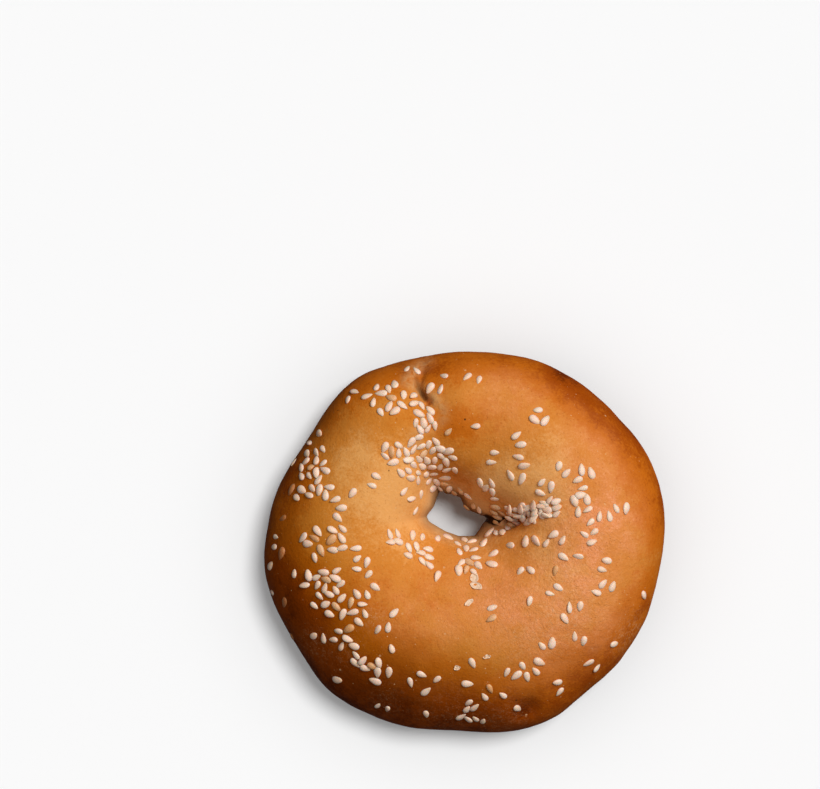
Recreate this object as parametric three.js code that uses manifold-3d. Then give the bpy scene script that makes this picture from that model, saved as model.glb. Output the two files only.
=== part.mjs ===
import * as THREE from 'three';
import { mergeVertices } from 'three/addons/utils/BufferGeometryUtils.js';
import Module from 'manifold-3d';

// A sesame bagel lying on its baked underside.
// Millimetres, +Z up.  The origin is on the table, under the middle of the bagel's outline.
// The dough is one ring; the sesame seeds are baked onto it, so ring and seeds are one solid.

// ---------------------------------------------------------------- the ring's driving sizes

const OUTLINE_RADIUS = 54.3;            // mean radius of the widest outline, about the origin
const HOLE_CENTRE = [-2.9, 6.8];        // the hole is off centre, so the ring is fatter on one side
const HOLE_ROUNDING = 3;                // degrees to each side over which the hole's corners are rounded
const UNDERSIDE_HOLE_RADIUS = 6.2;       // the hole opens round and wider towards the underside
const MEAN_HEIGHT = 36.6;               // underside to crown
const FAT_SIDE_RISE = 1.2;              // the fat side stands this much higher, the thin side lower
const FAT_SIDE_AT = 285;                // degrees, where the ring is fattest
const WIDEST_HEIGHT = 15.5;             // height of the widest line above the underside
const UNDERSIDE_DEPTH = 18.4;           // how far the lower half would reach down, cut flat at the table
const UNDERSIDE_FULLNESS = 0.8;         // under 1 makes the lower half squarer

// Corners of the pinched hole about its own centre, counterclockwise, the seam's notch among them.
const HOLE_CORNERS = [
  [9.3, -0.4], [4.5, 1.6], [2.4, 3.1], [1.6, 5.1], [-0.5, 6.3], [-2.8, 6.4], [-4.2, 7.9],
  [-5.8, 2.8], [-7.8, 0.2], [-7.2, -1.2], [-2.7, -4], [1, -5.4], [5.6, -5.2], [7.8, -1.9],
];

// Swells and flats of a round: [at, in degrees; half width, in degrees; rise, in mm].
const OUTLINE_SWELLS = [
  [18, 20, 1.7],
  [98, 26, -1.7],
  [124, 10, 1.2],
  [146, 14, -1.9],
  [192, 18, 1.9],
  [228, 13, 1.8],
  [267, 13, -1.7],
  [292, 9, 0.5],
  [310, 9, -0.8],
];
const CROWN_SWELLS = [
  [40, 30, 0.8],
  [75, 22, -0.7],
  [160, 30, 0.6],
  [230, 25, -0.5],
  [320, 30, 0.5],
];

// Furrows of the shaped dough, as stations along each one: [x, y, depth].
const FURROWS = [
  // where the rope of dough was lapped and sealed: from the rim to the hole
  {
    width: 5.5,
    stations: [[-10.6, 52, 0.8], [-11, 43, 1.7], [-9, 35, 1.5], [-9.4, 25, 2.2], [-6.8, 14.4, 3.4]],
  },
  // the pit at the seam's rim end
  {
    width: 1.4,
    stations: [[-12, 49.4, 0.6], [-13.6, 45.2, 1.8], [-13, 42.4, 2.2], [-11.2, 39.8, 2.6], [-10, 38.6, 0.5]],
  },
  // the fold that runs out of the hole's corner, and the sharp crease in it
  { width: 4.6, stations: [[4.5, 7, 4], [13, 8.2, 2.6], [22, 10.4, 1.2], [31, 13, 0.2]] },
  { width: 1.25, stations: [[5.6, 6.6, 5.6], [8, 5.6, 4.8], [11.4, 6.4, 3], [16, 8.2, 0.8]] },
  // the hollow of the lobe between the two
  { width: 8, stations: [[4, 15, 1.1], [9, 22, 0.6]] },
  // a dimple near the rim and a shallow saddle beside the fold
  { width: 3.2, stations: [[15.6, -45.6, 1.3], [16.8, -45.2, 1.3]] },
  { width: 6, stations: [[12, -3, 0.9], [19, -5, 0.7]] },
];

// ---------------------------------------------------------------- the seeds' driving sizes

const SEED_LENGTH = 2.95;
const SEED_WIDTH = 1.88;
const SEED_THICKNESS = 1.3;
const SEED_POINTEDNESS = 0.36;          // how much narrower the pointed end is than the round one
const SEED_SIZE_SPREAD = 0.16;
const SMALLEST_MODELLED = 0.985;        // the faceted model leaves out seeds under this size
const SEED_SUNK = 0.52;                 // share of the thickness that is baked into the crust
const SEED_JITTER = 0.34;               // how far a seed strays from an even spread, in seed spacings
const SETTLING_ROUNDS = 8;              // how many times the seeds are gone through to part them
const NEIGHBOUR_REACH = 4;              // nearer than this, a seed turns to lie beside its neighbour
const OWN_TURN = 0.5;                   // share of its own turn that such a seed keeps
const END_TILT = 0.3;                   // a seed tips end over end this much less than it rolls
const STEEPEST_TILT = 3;                // the few steepest seeds tip this much further than the rest
const GOLDEN_ANGLE = Math.PI * (3 - Math.sqrt(5));

// Handfuls of seeds: [x, y, half length, half width, turn in degrees, seeds].
// Seeds that lie close together.
const THICK = [
  // along the lapped seam, from the rim to the hole
  [-22, 39.6, 6.2, 4.6, 0, 12],
  [-14.4, 39.8, 1.2, 0.3, 90, 2],
  [-8, 42, 2.4, 0.4, -35, 2],
  [-11.4, 33.8, 4.2, 3.4, 104, 9],
  [-20.4, 24.6, 3.6, 3.4, 0, 6],
  [-12.2, 25, 5.8, 4.4, 0, 17],
  [-13.2, 19.4, 5.6, 1.8, 8, 8],
  [-4.9, 21.6, 2.4, 3.8, 0, 7],
  [-9.2, 16.6, 1.6, 1.2, -30, 3],
  // the upper left of the rim
  [-42, 22.4, 5.4, 4.8, 30, 14],
  [-41.4, 14.6, 6, 2.6, 6, 8],
  // the left side
  [-39.4, 0.2, 5.4, 4.4, 0, 9],
  [-38, -10, 5.6, 3.4, -8, 12],
  [-26.4, -32.4, 6.6, 1.2, -16, 8],
  // below the hole
  [-20, 1.6, 1.8, 1.3, 0, 4],
  [-14, -1.7, 3.4, 0.9, -12, 5],
  [-10.6, -4.2, 1.8, 0.8, -70, 3],
  [0, -0.8, 2.8, 1, 0, 6],
  [0.9, -5.8, 2.4, 1.8, 10, 7],
  // the lower rim
  [0.6, -44, 1.8, 1.1, 80, 3],
  [1.1, -48.1, 3.2, 0.4, -6, 4],
  // the upper right lobe
  [5.4, 16, 1.3, 1.6, 0, 3],
  [7.6, 13, 0.5, 1.4, 20, 2],
  [31.4, 13.4, 2.6, 1.6, 10, 4],
];
// Seeds that lie singly.
const SPRINKLED = [
  // the rim at the lapped seam
  [-14.3, 47, 2.4, 0.4, -14, 2],
  [-6, 46, 0.2, 0.2, 0, 1],
  [1.8, 45.4, 2.6, 0.4, -20, 2],
  [-31.8, 40.2, 1.4, 0.6, 30, 2],
  // strays on the golden side of the hole
  [-25, 18.4, 3.6, 0.8, 60, 2],
  [-30.8, 14, 0.2, 0.2, 0, 1],
  [-14.4, 13.4, 2.8, 1.1, -10, 3],
  [-13.8, 9, 0.2, 0.2, 0, 1],
  [-35, 10, 3, 0.7, 100, 3],
  [-40.2, 30, 0.2, 0.2, 0, 1],
  // the left side
  [-34.6, 2.2, 1.8, 1.6, 0, 3],
  [-34.2, -16, 7.8, 2.6, -4, 11],
  [-28.2, -4.6, 4.8, 1.6, -60, 5],
  [-25, -11.5, 0.2, 0.2, 0, 1],
  [-28.4, -15.4, 1.6, 0.6, 90, 2],
  [-29.4, -20.8, 0.2, 0.2, 0, 1],
  [-23.6, -22.6, 2.2, 0.5, 0, 2],
  [-33.2, -24, 1.8, 0.8, -60, 3],
  [-40.2, -25.6, 1.6, 0.4, 0, 2],
  [-33.4, -27.2, 4, 0.8, -5, 3],
  [-19.8, -18.4, 0.2, 0.2, 0, 1],
  [-20.4, -28, 0.2, 0.2, 0, 1],
  [-53.2, -2, 5.6, 0.5, 82, 3],
  [-53.4, -14, 0.2, 0.2, 0, 1],
  [-47, -8, 0.2, 0.2, 0, 1],
  // the lower rim
  [-35.5, -37.4, 0.2, 0.2, 0, 1],
  [-25, -37.4, 0.2, 0.2, 0, 1],
  [-23.2, -45, 1.6, 0.5, -40, 2],
  [-10.9, -46.6, 0.2, 0.2, 0, 1],
  [-13.2, -36.2, 2.4, 1, 20, 2],
  [-8, -36.5, 0.2, 0.2, 0, 1],
  [-11, -40, 0.2, 0.2, 0, 1],
  [1.4, -31.8, 0.2, 0.2, 0, 1],
  [0, -37.5, 0.2, 0.2, 0, 1],
  [5.4, -40.4, 1.8, 0.5, 90, 2],
  [10, -41, 0.2, 0.2, 0, 1],
  [13.9, -45, 0.2, 0.2, 0, 1],
  [16, -34, 4.6, 2.2, 12, 6],
  [25, -39.2, 1.6, 0.4, 90, 2],
  [22, -27.3, 1.6, 0.4, 110, 2],
  [30.4, -24.8, 1.8, 0.4, 100, 2],
  [34.7, -33, 2.4, 0.3, -30, 2],
  [40.4, -27.4, 0.2, 0.2, 0, 1],
  [48.6, -14.2, 0.2, 0.2, 0, 1],
  // the right side
  [37.4, -5, 1.8, 0.4, 40, 2],
  [36.4, -11.4, 3.2, 1.4, 20, 3],
  [28.6, -3, 3, 0.4, 0, 2],
  [23.2, -12, 1.8, 0.5, 40, 2],
  [27.4, -17.4, 3.4, 2, 20, 3],
  [17, -14.8, 0.2, 0.2, 0, 1],
  [6.5, -18.6, 1.8, 0.2, 90, 2],
  [33.2, 2.2, 3.6, 1.3, 10, 3],
  [36.8, 7.6, 3.8, 1.3, 20, 3],
  [42.4, 9.5, 2.4, 0.3, 0, 2],
  // the upper right lobe
  [19.2, 34.4, 2.4, 1.6, 60, 3],
  [2.4, 32.4, 0.2, 0.2, 0, 1],
  [-5, 30.5, 0.2, 0.2, 0, 1],
  [14, 28, 2, 0.5, 100, 2],
  [7, 24.2, 2.2, 0.4, 70, 2],
  [14.8, 22.2, 1.6, 0.7, 40, 2],
  [13, 18.6, 2.6, 0.5, 0, 2],
  [20.8, 15.8, 2.4, 1.2, 30, 3],
  [26.4, 19.8, 2, 0.6, 120, 2],
  [31.6, 18.9, 2.6, 1.4, 20, 3],
  [31.8, 10, 1.8, 0.5, 30, 2],
  // below the hole
  [-8, -8.5, 0.2, 0.2, 0, 1],
  [-13, 2, 1.6, 0.3, 0, 2],
  [-6.2, 1.6, 1.6, 0.3, 30, 2],
  [4.8, 0, 0.2, 0.2, 0, 1],
  [7, -4.2, 2.6, 0.3, 90, 2],
  [11.8, -0.2, 0.2, 0.2, 0, 1],
  [15.2, -7, 2.2, 0.3, 10, 2],
  [24, -7, 0.2, 0.2, 0, 1],
  [18.2, 0.7, 2.6, 0.6, -4, 3],
  [24.4, 2.4, 1.9, 0.6, -30, 2],
];
// Seeds that slid into the fold and lie tipped against each other.
const HEAPED = [
  [15.3, 8.4, 4.6, 2.3, 8, 14],
  [22.3, 10, 3.8, 2.1, 14, 9],
  [8.7, 8.8, 1.4, 0.5, -24, 3],
  [9.4, 6.1, 1.6, 0.5, -30, 3],
  [12.8, 5, 2, 0.4, 10, 3],
  [8, 2.6, 2.2, 0.4, 4, 3],
];
// Seeds on top of the heap.
const PILED = [
  [16.8, 8.9, 5.2, 1.4, 4, 11],
];
// Seeds caught on the hole's own wall.
const CAUGHT = [
  [-6.9, 15.4, 2.2, 0.3, -20, 3],
  [-1.8, 13.8, 3.4, 0.3, -22, 4],
  [1.5, 9.8, 2.8, 0.2, -20, 4],
];
// Seeds that the crust's glaze has closed over, low on the rim.
const CLOSED_OVER = [
  [-50.4, 7, 0.2, 0.2, 0, 1],
  [-47, 14.6, 0.2, 0.2, 0, 1],
  [-51, -2.3, 0.2, 0.2, 0, 1],
  [-50, -16, 0.2, 0.2, 0, 1],
  [-48, -26, 0.2, 0.2, 0, 1],
];

// How each lot lies: gap, the least distance between two of its seeds' centres; clear, the least
// distance to seeds that lie there already; tilt, how far a seed tips out of the crust's plane, in
// radians; lift, how much higher than on the bare crust it lies.
const SPRINKLINGS = [
  { handfuls: THICK, gap: 2.1, clear: 0, tilt: 0.16, lift: 0 },
  { handfuls: SPRINKLED, gap: 2.8, clear: 2.6, tilt: 0.16, lift: 0 },
  { handfuls: HEAPED, gap: 1.7, clear: 2.2, tilt: 0.3, lift: 0.2 },
  { handfuls: PILED, gap: 1.9, clear: 0, tilt: 0.4, lift: 1.1 },
  { handfuls: CAUGHT, gap: 1.8, clear: 1.9, tilt: 0.2, lift: 0 },
  { handfuls: CLOSED_OVER, gap: 2.3, clear: 2.6, tilt: 0, lift: -0.25 },
];

// ---------------------------------------------------------------- fineness of the faceted model

const STEPS_ROUND = 72;
const STEPS_OVER = 17;                  // from the widest line at the rim over the crown to the hole
const STEPS_UNDER = 4;                  // from the widest line down to the flat underside, each side
const SEED_SIDES = 4;
const SEED_RINGS = 3;
const WELD = 0.05;                      // facets closer to flat than this are made one after the joining

// ---------------------------------------------------------------- helpers

const radians = (degrees) => degrees * Math.PI / 180;
const between = (a, b, share) => a + (b - a) * share;

/** A fixed stream of numbers in 0..1, the same on every run. */
function makeDraw(start) {
  let state = start;
  return () => {
    state = (state * 16807) % 2147483647;
    return state / 2147483647;
  };
}

/** A base value plus every swell's share of its rise at this angle. */
function withSwells(base, swells, degrees) {
  let value = base;
  for (const [at, halfWidth, rise] of swells) {
    const apart = ((degrees - at + 540) % 360 + 360) % 360 - 180;
    value += rise * Math.exp(-((apart / halfWidth) ** 2));
  }
  return value;
}

/** Depth of one furrow at a point in plan: deepest on its line, easing off across it. */
function furrowDepth({ width, stations }, x, y) {
  let depth = 0;
  for (let k = 1; k < stations.length; k += 1) {
    const [ax, ay, depthA] = stations[k - 1];
    const [bx, by, depthB] = stations[k];
    const lengthSquared = (bx - ax) ** 2 + (by - ay) ** 2;
    const share = THREE.MathUtils.clamp(((x - ax) * (bx - ax) + (y - ay) * (by - ay)) / lengthSquared, 0, 1);
    const aside = Math.hypot(x - between(ax, bx, share), y - between(ay, by, share));
    depth = Math.max(depth, between(depthA, depthB, share) * Math.exp(-((aside / width) ** 2)));
  }
  return depth;
}

/** How far the hole's straight edges stand from its centre at this angle. */
function holeReach(degrees) {
  const cos = Math.cos(radians(degrees));
  const sin = Math.sin(radians(degrees));
  for (let k = 0; k < HOLE_CORNERS.length; k += 1) {
    const [ax, ay] = HOLE_CORNERS[k];
    const [bx, by] = HOLE_CORNERS[(k + 1) % HOLE_CORNERS.length];
    if (ax * sin >= ay * cos && cos * by > sin * bx) {
      return (ax * by - ay * bx) / (cos * (by - ay) - sin * (bx - ax));
    }
  }
  throw new Error(`the hole has no edge at ${degrees} degrees`);
}

/** The hole's radius at this angle, with its corners rounded. */
function holeRadiusAt(degrees) {
  const beside = holeReach(degrees - HOLE_ROUNDING) + holeReach(degrees + HOLE_ROUNDING);
  return holeReach(degrees) / 2 + beside / 4;
}

/** A closed three.js geometry as a manifold-3d solid. */
function solidOf(geometry) {
  geometry.deleteAttribute('normal');
  geometry.deleteAttribute('uv');
  const merged = mergeVertices(geometry, 1e-5);
  return new wasm.Manifold(new wasm.Mesh({
    numProp: 3,
    vertProperties: new Float32Array(merged.attributes.position.array),
    triVerts: new Uint32Array(merged.index.array),
  }));
}

/** A manifold-3d solid as a three.js geometry. */
function geometryOf(solid) {
  const mesh = solid.getMesh();
  const geometry = new THREE.BufferGeometry();
  geometry.setAttribute('position', new THREE.BufferAttribute(mesh.vertProperties, 3));
  geometry.setIndex(new THREE.BufferAttribute(mesh.triVerts, 1));
  geometry.computeVertexNormals();
  return geometry;
}

// ---------------------------------------------------------------- the ring

/**
 * A point on the ring's skin.  `degrees` goes round the ring; `around` goes round its section:
 * 0 at the rim's widest line, a quarter turn over the crown, a half turn at the hole's wall.
 */
function skinPoint(degrees, around) {
  const direction = new THREE.Vector2(Math.cos(radians(degrees)), Math.sin(radians(degrees)));
  const rimRadius = withSwells(OUTLINE_RADIUS, OUTLINE_SWELLS, degrees);
  const holeRadius = holeRadiusAt(degrees);
  const fatSide = Math.cos(radians(degrees - FAT_SIDE_AT));
  const crown = withSwells(MEAN_HEIGHT + FAT_SIDE_RISE * fatSide, CROWN_SWELLS, degrees);

  const rise = Math.sin(around);
  const wallRadius = between(holeRadius, UNDERSIDE_HOLE_RADIUS, Math.max(0, -rise));
  const rim = direction.clone().multiplyScalar(rimRadius);
  const wall = direction.clone().multiplyScalar(wallRadius).add(new THREE.Vector2(...HOLE_CENTRE));
  const outward = rim.clone().sub(wall).normalize();
  const plan = wall.clone().lerp(rim, (1 + Math.cos(around)) / 2);

  if (rise <= 0) {
    const drop = UNDERSIDE_DEPTH * (-rise) ** UNDERSIDE_FULLNESS;
    return new THREE.Vector3(plan.x, plan.y, Math.max(0, WIDEST_HEIGHT - drop));
  }
  const dome = crown - WIDEST_HEIGHT;
  const halfWidth = rim.distanceTo(wall) / 2;
  const facing = new THREE.Vector2(Math.cos(around) * dome, rise * halfWidth).normalize();
  const eased = THREE.MathUtils.smoothstep(rise, 0, 0.6);
  const sunk = eased * FURROWS.reduce((sum, furrow) => sum + furrowDepth(furrow, plan.x, plan.y), 0);
  plan.addScaledVector(outward, -sunk * facing.x);
  return new THREE.Vector3(plan.x, plan.y, WIDEST_HEIGHT + dome * rise - sunk * facing.y);
}

/** Section angles: even over the crown, closer at the rounded lower edges, open across the flat. */
function sectionAngles() {
  const flatStart = Math.asin((WIDEST_HEIGHT / UNDERSIDE_DEPTH) ** (1 / UNDERSIDE_FULLNESS));
  const angles = [];
  for (let k = 0; k < STEPS_OVER; k += 1) angles.push(Math.PI * k / STEPS_OVER);
  for (let k = 0; k <= STEPS_UNDER; k += 1) angles.push(Math.PI + flatStart * k / STEPS_UNDER);
  for (let k = 0; k < STEPS_UNDER; k += 1) angles.push(2 * Math.PI - flatStart * (1 - k / STEPS_UNDER));
  return angles;
}

function ringGeometry() {
  const angles = sectionAngles();
  const positions = [];
  const index = [];
  for (let i = 0; i < STEPS_ROUND; i += 1) {
    for (const around of angles) positions.push(...skinPoint(360 * i / STEPS_ROUND, around));
  }
  for (let i = 0; i < STEPS_ROUND; i += 1) {
    const here = i * angles.length;
    const next = ((i + 1) % STEPS_ROUND) * angles.length;
    for (let k = 0; k < angles.length; k += 1) {
      const up = (k + 1) % angles.length;
      index.push(here + k, next + k, next + up, here + k, next + up, here + up);
    }
  }
  const geometry = new THREE.BufferGeometry();
  geometry.setAttribute('position', new THREE.Float32BufferAttribute(positions, 3));
  geometry.setIndex(index);
  geometry.computeVertexNormals();
  return geometry;
}

// ---------------------------------------------------------------- the seeds

/** One sesame seed, a flat teardrop along +X, lying in the XY plane. */
function seedGeometry() {
  const geometry = new THREE.SphereGeometry(0.5, SEED_SIDES, SEED_RINGS);
  geometry.rotateZ(-Math.PI / 2);
  const position = geometry.attributes.position;
  for (let i = 0; i < position.count; i += 1) {
    const slim = 1 - SEED_POINTEDNESS * (position.getX(i) + 0.5);
    position.setY(i, position.getY(i) * slim / (1 - SEED_POINTEDNESS / 2));
  }
  geometry.scale(SEED_LENGTH, SEED_WIDTH, SEED_THICKNESS);
  return geometry;
}

/** The places of one handful: an even spiral spread, each seed strayed a little. */
function scatter([x, y, halfLength, halfWidth, turn, count], draw) {
  const stray = SEED_JITTER * Math.sqrt(Math.PI * halfLength * halfWidth / count);
  const start = radians(360 * draw());
  const places = [];
  for (let k = 0; k < count; k += 1) {
    const reach = Math.sqrt((k + 0.5) / count);
    const angle = start + k * GOLDEN_ANGLE;
    const along = halfLength * reach * Math.cos(angle) + stray * (2 * draw() - 1);
    const across = halfWidth * reach * Math.sin(angle) + stray * (2 * draw() - 1);
    const strayed = new THREE.Vector2(along, across).rotateAround(new THREE.Vector2(), radians(turn));
    places.push(strayed.add(new THREE.Vector2(x, y)));
  }
  return places;
}

/** Moves seeds apart in plan, and clear of the earlier ones, which stay where they are. */
function settle(places, earlier, { gap, clear }) {
  for (let round = 0; round < SETTLING_ROUNDS; round += 1) {
    for (let i = 0; i < places.length; i += 1) {
      for (const other of earlier) {
        const apart = places[i].distanceTo(other);
        if (apart < clear) {
          const way = other.clone().sub(places[i]);
          places[i].addScaledVector(way, -(clear - apart) / apart);
        }
      }
      for (let j = i + 1; j < places.length; j += 1) {
        const apart = places[i].distanceTo(places[j]);
        if (apart < gap) {
          const push = places[j].clone().sub(places[i]).multiplyScalar((gap - apart) / (2 * apart));
          places[i].sub(push);
          places[j].add(push);
        }
      }
    }
  }
}

/** The way in plan from one seed to the nearest of all that lie there. */
function wayToNearest(lying, own) {
  const ways = lying.filter((place) => place !== own).map((place) => place.clone().sub(own));
  return ways.reduce((best, way) => (way.length() < best.length() ? way : best));
}

/** How far a seed tips, as a share of its lot's tilt: mostly little, now and then a lot. */
function tipping(draw) {
  const share = 2 * draw() - 1;
  return share + STEEPEST_TILT * share ** 5;
}

/** Seats one seed on the crust, beside its nearest neighbour rather than across it. */
function seatSeed(crust, place, nearest, { tilt, lift }, draw) {
  const above = new THREE.Vector3(place.x, place.y, 2 * MEAN_HEIGHT);
  const [hit] = new THREE.Raycaster(above, new THREE.Vector3(0, 0, -1)).intersectObject(crust);
  const size = 1 + SEED_SIZE_SPREAD * (2 * draw() - 1);
  let turn = 2 * Math.PI * draw();
  if (nearest.length() < NEIGHBOUR_REACH) {
    const beside = Math.atan2(nearest.y, nearest.x) + Math.PI / 2;
    turn = beside + OWN_TURN * (turn % Math.PI - Math.PI / 2) + (turn > Math.PI ? Math.PI : 0);
  }
  const rolled = tilt * tipping(draw);
  const ended = END_TILT * tilt * tipping(draw);
  if (!hit || size < SMALLEST_MODELLED) return null;
  const leaning = new THREE.Vector3(ended, rolled, 0).applyAxisAngle(new THREE.Vector3(0, 0, 1), turn);
  const up = hit.face.normal.clone().add(leaning).normalize();
  const lying = new THREE.Quaternion().setFromUnitVectors(new THREE.Vector3(0, 0, 1), up);
  lying.multiply(new THREE.Quaternion().setFromAxisAngle(new THREE.Vector3(0, 0, 1), turn));
  const centre = hit.point.clone().addScaledVector(up, SEED_THICKNESS * size * (0.5 - SEED_SUNK) + lift);
  return new THREE.Matrix4().compose(centre, lying, new THREE.Vector3(size, size, size));
}

function seedSolids(crust) {
  const draw = makeDraw(2027);
  const lying = [];
  const seeds = [];
  for (const sprinkling of SPRINKLINGS) {
    const places = sprinkling.handfuls.flatMap((handful) => scatter(handful, draw));
    settle(places, lying, sprinkling);
    lying.push(...places);
    for (const place of places) {
      const seat = seatSeed(crust, place, wayToNearest(lying, place), sprinkling, draw);
      if (seat) seeds.push(solidOf(seedGeometry().applyMatrix4(seat)));
    }
  }
  return seeds;
}

/** Keeps the bagel itself where the joining has left loose scraps or sealed hollows. */
function wholeOf(solid) {
  const pieces = solid.decompose();
  pieces.sort((a, b) => b.volume() - a.volume());
  return pieces[0];
}

// ---------------------------------------------------------------- assembly

const wasm = await Module();
wasm.setup();

const crustMaterial = new THREE.MeshStandardMaterial({ color: 0xc4803c, roughness: 0.55, metalness: 0 });
crustMaterial.name = 'crust';

const ring = ringGeometry();
const crust = new THREE.Mesh(ring, crustMaterial);
const joined = wasm.Manifold.union([solidOf(ring.clone()), ...seedSolids(crust)]);

const bagel = new THREE.Mesh(geometryOf(wholeOf(joined).simplify(WELD)), crustMaterial);
bagel.name = 'bagel';

const group = new THREE.Group();
group.add(bagel);

export default group;
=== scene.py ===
"""A sesame bagel on a pale studio floor.

The frame holds the bagel's solid.  This script gives it its looks: the crust, the seeds that are
baked onto it, the floor, the light and the camera.  The sizes of the dough and of the seeds are in
millimetres, as they are in the part's own source, and become metres where a mesh is made.
"""

import logging
import math
from dataclasses import dataclass, field
from enum import Enum
from functools import lru_cache

import bmesh
import bpy
from mathutils import Matrix, Quaternion, Vector, noise
from mathutils.bvhtree import BVHTree


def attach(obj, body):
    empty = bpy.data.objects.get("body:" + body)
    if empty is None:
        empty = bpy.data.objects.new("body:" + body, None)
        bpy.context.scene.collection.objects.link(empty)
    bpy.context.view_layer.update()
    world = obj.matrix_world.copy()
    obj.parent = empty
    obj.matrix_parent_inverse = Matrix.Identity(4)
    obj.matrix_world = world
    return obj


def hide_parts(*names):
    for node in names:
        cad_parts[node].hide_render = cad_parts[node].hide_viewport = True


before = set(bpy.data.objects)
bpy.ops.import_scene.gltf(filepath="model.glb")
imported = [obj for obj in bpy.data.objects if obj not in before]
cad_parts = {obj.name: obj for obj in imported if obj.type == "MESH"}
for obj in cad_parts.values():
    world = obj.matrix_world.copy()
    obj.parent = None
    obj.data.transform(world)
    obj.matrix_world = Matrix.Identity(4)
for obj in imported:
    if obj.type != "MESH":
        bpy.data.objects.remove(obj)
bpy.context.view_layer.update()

LOG = logging.getLogger("bagel")
NODE = "bagel"
BODY = "root"
MM = 0.001
UP = Vector((0, 0, 1))
DOWN = Vector((0, 0, -1))
DROP_HEIGHT = 100  # mm, above all of the bagel
FURROW_REACH = 3  # widths of a furrow, beyond which it isn't felt
GOLDEN_ANGLE = math.pi * (3 - math.sqrt(5))
Colour = tuple[float, float, float]
Span = tuple[float, float]
Input = bpy.types.NodeSocket | Colour | float
# What the crust's mesh carries on its points for its finish.
SKIN_VALUES = ("browning", "painted_shade", "blush_and_sheen", "dusty", "inner", "seam", "crevice_shade")


# ---------------------------------------------------------------- small helpers


def between(low: float, high: float, share: float) -> float:
    """A value part of the way from low to high."""
    return low + (high - low) * share


def ease(value: float, low: float, high: float) -> float:
    """Zero up to low, one from high on, and a smooth S between them."""
    share = min(1.0, max(0.0, (value - low) / (high - low)))
    return share * share * (3 - 2 * share)


def side_share(degrees: float, at: float) -> float:
    """How near an angle round the ring is to another one, from 0, opposite, to 1."""
    return (1 + math.cos(math.radians(degrees - at))) / 2


def under_place(crust: BVHTree, x: float, y: float) -> tuple[Vector | None, Vector | None]:
    """Finds the crust straight under a place in plan.

    Args:
        crust: the crust's surface, in metres.
        x: the place along X, in mm.
        y: the place along Y, in mm.

    Returns:
        The point, in metres, and the way the crust faces there, or None twice where there is no crust.
    """
    point, normal, _, _ = crust.ray_cast(Vector((x, y, DROP_HEIGHT)) * MM, DOWN)
    return point, normal


class SeededDraw:
    """A fixed stream of numbers in 0..1, the same on every run and in the part's source."""

    def __init__(self, start: int) -> None:
        """Starts the stream.

        Args:
            start: the whole number that picks the stream.
        """
        self.state = start

    def __call__(self) -> float:
        """The next number in 0..1."""
        self.state = (self.state * 16807) % 2147483647
        return self.state / 2147483647

    def signed(self) -> float:
        """The next number in -1..1."""
        return 2 * self() - 1


def object_from(name: str, mesh_builder: bmesh.types.BMesh, smooth: bool = True) -> bpy.types.Object:
    """Turns a finished bmesh into an object at the origin.

    Args:
        name: the name of the object and of its mesh.
        mesh_builder: the finished bmesh, which is freed.
        smooth: whether its faces are shaded smooth.

    Returns:
        The new object, linked to the scene.
    """
    mesh = bpy.data.meshes.new(name)
    for face in mesh_builder.faces:
        face.smooth = smooth
    mesh_builder.to_mesh(mesh)
    mesh_builder.free()
    made = bpy.data.objects.new(name, mesh)
    bpy.context.scene.collection.objects.link(made)
    return made


def dress_as_part(piece: bpy.types.Object, finish: bpy.types.Material) -> None:
    """Gives a piece its finish and ties it to the bagel's node in the frame.

    Args:
        piece: the piece.
        finish: its material.
    """
    piece.data.materials.append(finish)
    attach(piece, BODY)
    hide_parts(NODE)
    LOG.info("%s: %d faces", piece.name, len(piece.data.polygons))


# ---------------------------------------------------------------- the form of the dough


@dataclass(frozen=True)
class Swell:
    """A swell or flat of a round, at an angle and with a half width in degrees, and a rise in mm."""

    at: float
    half_width: float
    rise: float

    def share(self, degrees: float) -> float:
        """The swell's part of its rise at an angle."""
        apart = (degrees - self.at + 180) % 360 - 180
        return self.rise * math.exp(-((apart / self.half_width) ** 2))


@dataclass(frozen=True)
class Furrow:
    """A furrow in the dough: stations (x, y, depth) along it, and the width that it eases off over."""

    width: float
    stations: tuple[tuple[float, float, float], ...]

    def depth(self, x: float, y: float) -> float:
        """How deep the furrow is under a place in plan.

        Args:
            x: place along X, in mm.
            y: place along Y, in mm.

        Returns:
            The depth in mm, deepest on the furrow's line.
        """
        deepest = 0.0
        for (ax, ay, depth_a), (bx, by, depth_b) in zip(self.stations, self.stations[1:]):
            span = (bx - ax) ** 2 + (by - ay) ** 2
            share = min(1.0, max(0.0, ((x - ax) * (bx - ax) + (y - ay) * (by - ay)) / span))
            aside = math.hypot(x - between(ax, bx, share), y - between(ay, by, share))
            if aside < FURROW_REACH * self.width:
                depth = between(depth_a, depth_b, share) * math.exp(-((aside / self.width) ** 2))
                deepest = max(deepest, depth)
        return deepest


LAPPED_SEAM = Furrow(
    5.5, ((-10.6, 52, 0.8), (-11, 43, 1.7), (-9, 35, 1.5), (-9.4, 25, 2.2), (-6.8, 14.4, 3.4))
)
SEAM_PIT = Furrow(
    1.4, ((-12, 49.4, 0.6), (-13.6, 45.2, 1.8), (-13, 42.4, 2.2), (-11.2, 39.8, 2.6), (-10, 38.6, 0.5))
)
FOLD = Furrow(4.6, ((4.5, 7, 4.0), (13, 8.2, 2.6), (22, 10.4, 1.2), (31, 13, 0.2)))
FOLD_CREASE = Furrow(1.25, ((5.6, 6.6, 5.6), (8, 5.6, 4.8), (11.4, 6.4, 3.0), (16, 8.2, 0.8)))
LOBE_HOLLOW = Furrow(8, ((4, 15, 1.1), (9, 22, 0.6)))
DIMPLE = Furrow(3.2, ((15.6, -45.6, 1.3), (16.8, -45.2, 1.3)))
SADDLE = Furrow(6, ((12, -3, 0.9), (19, -5, 0.7)))
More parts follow.
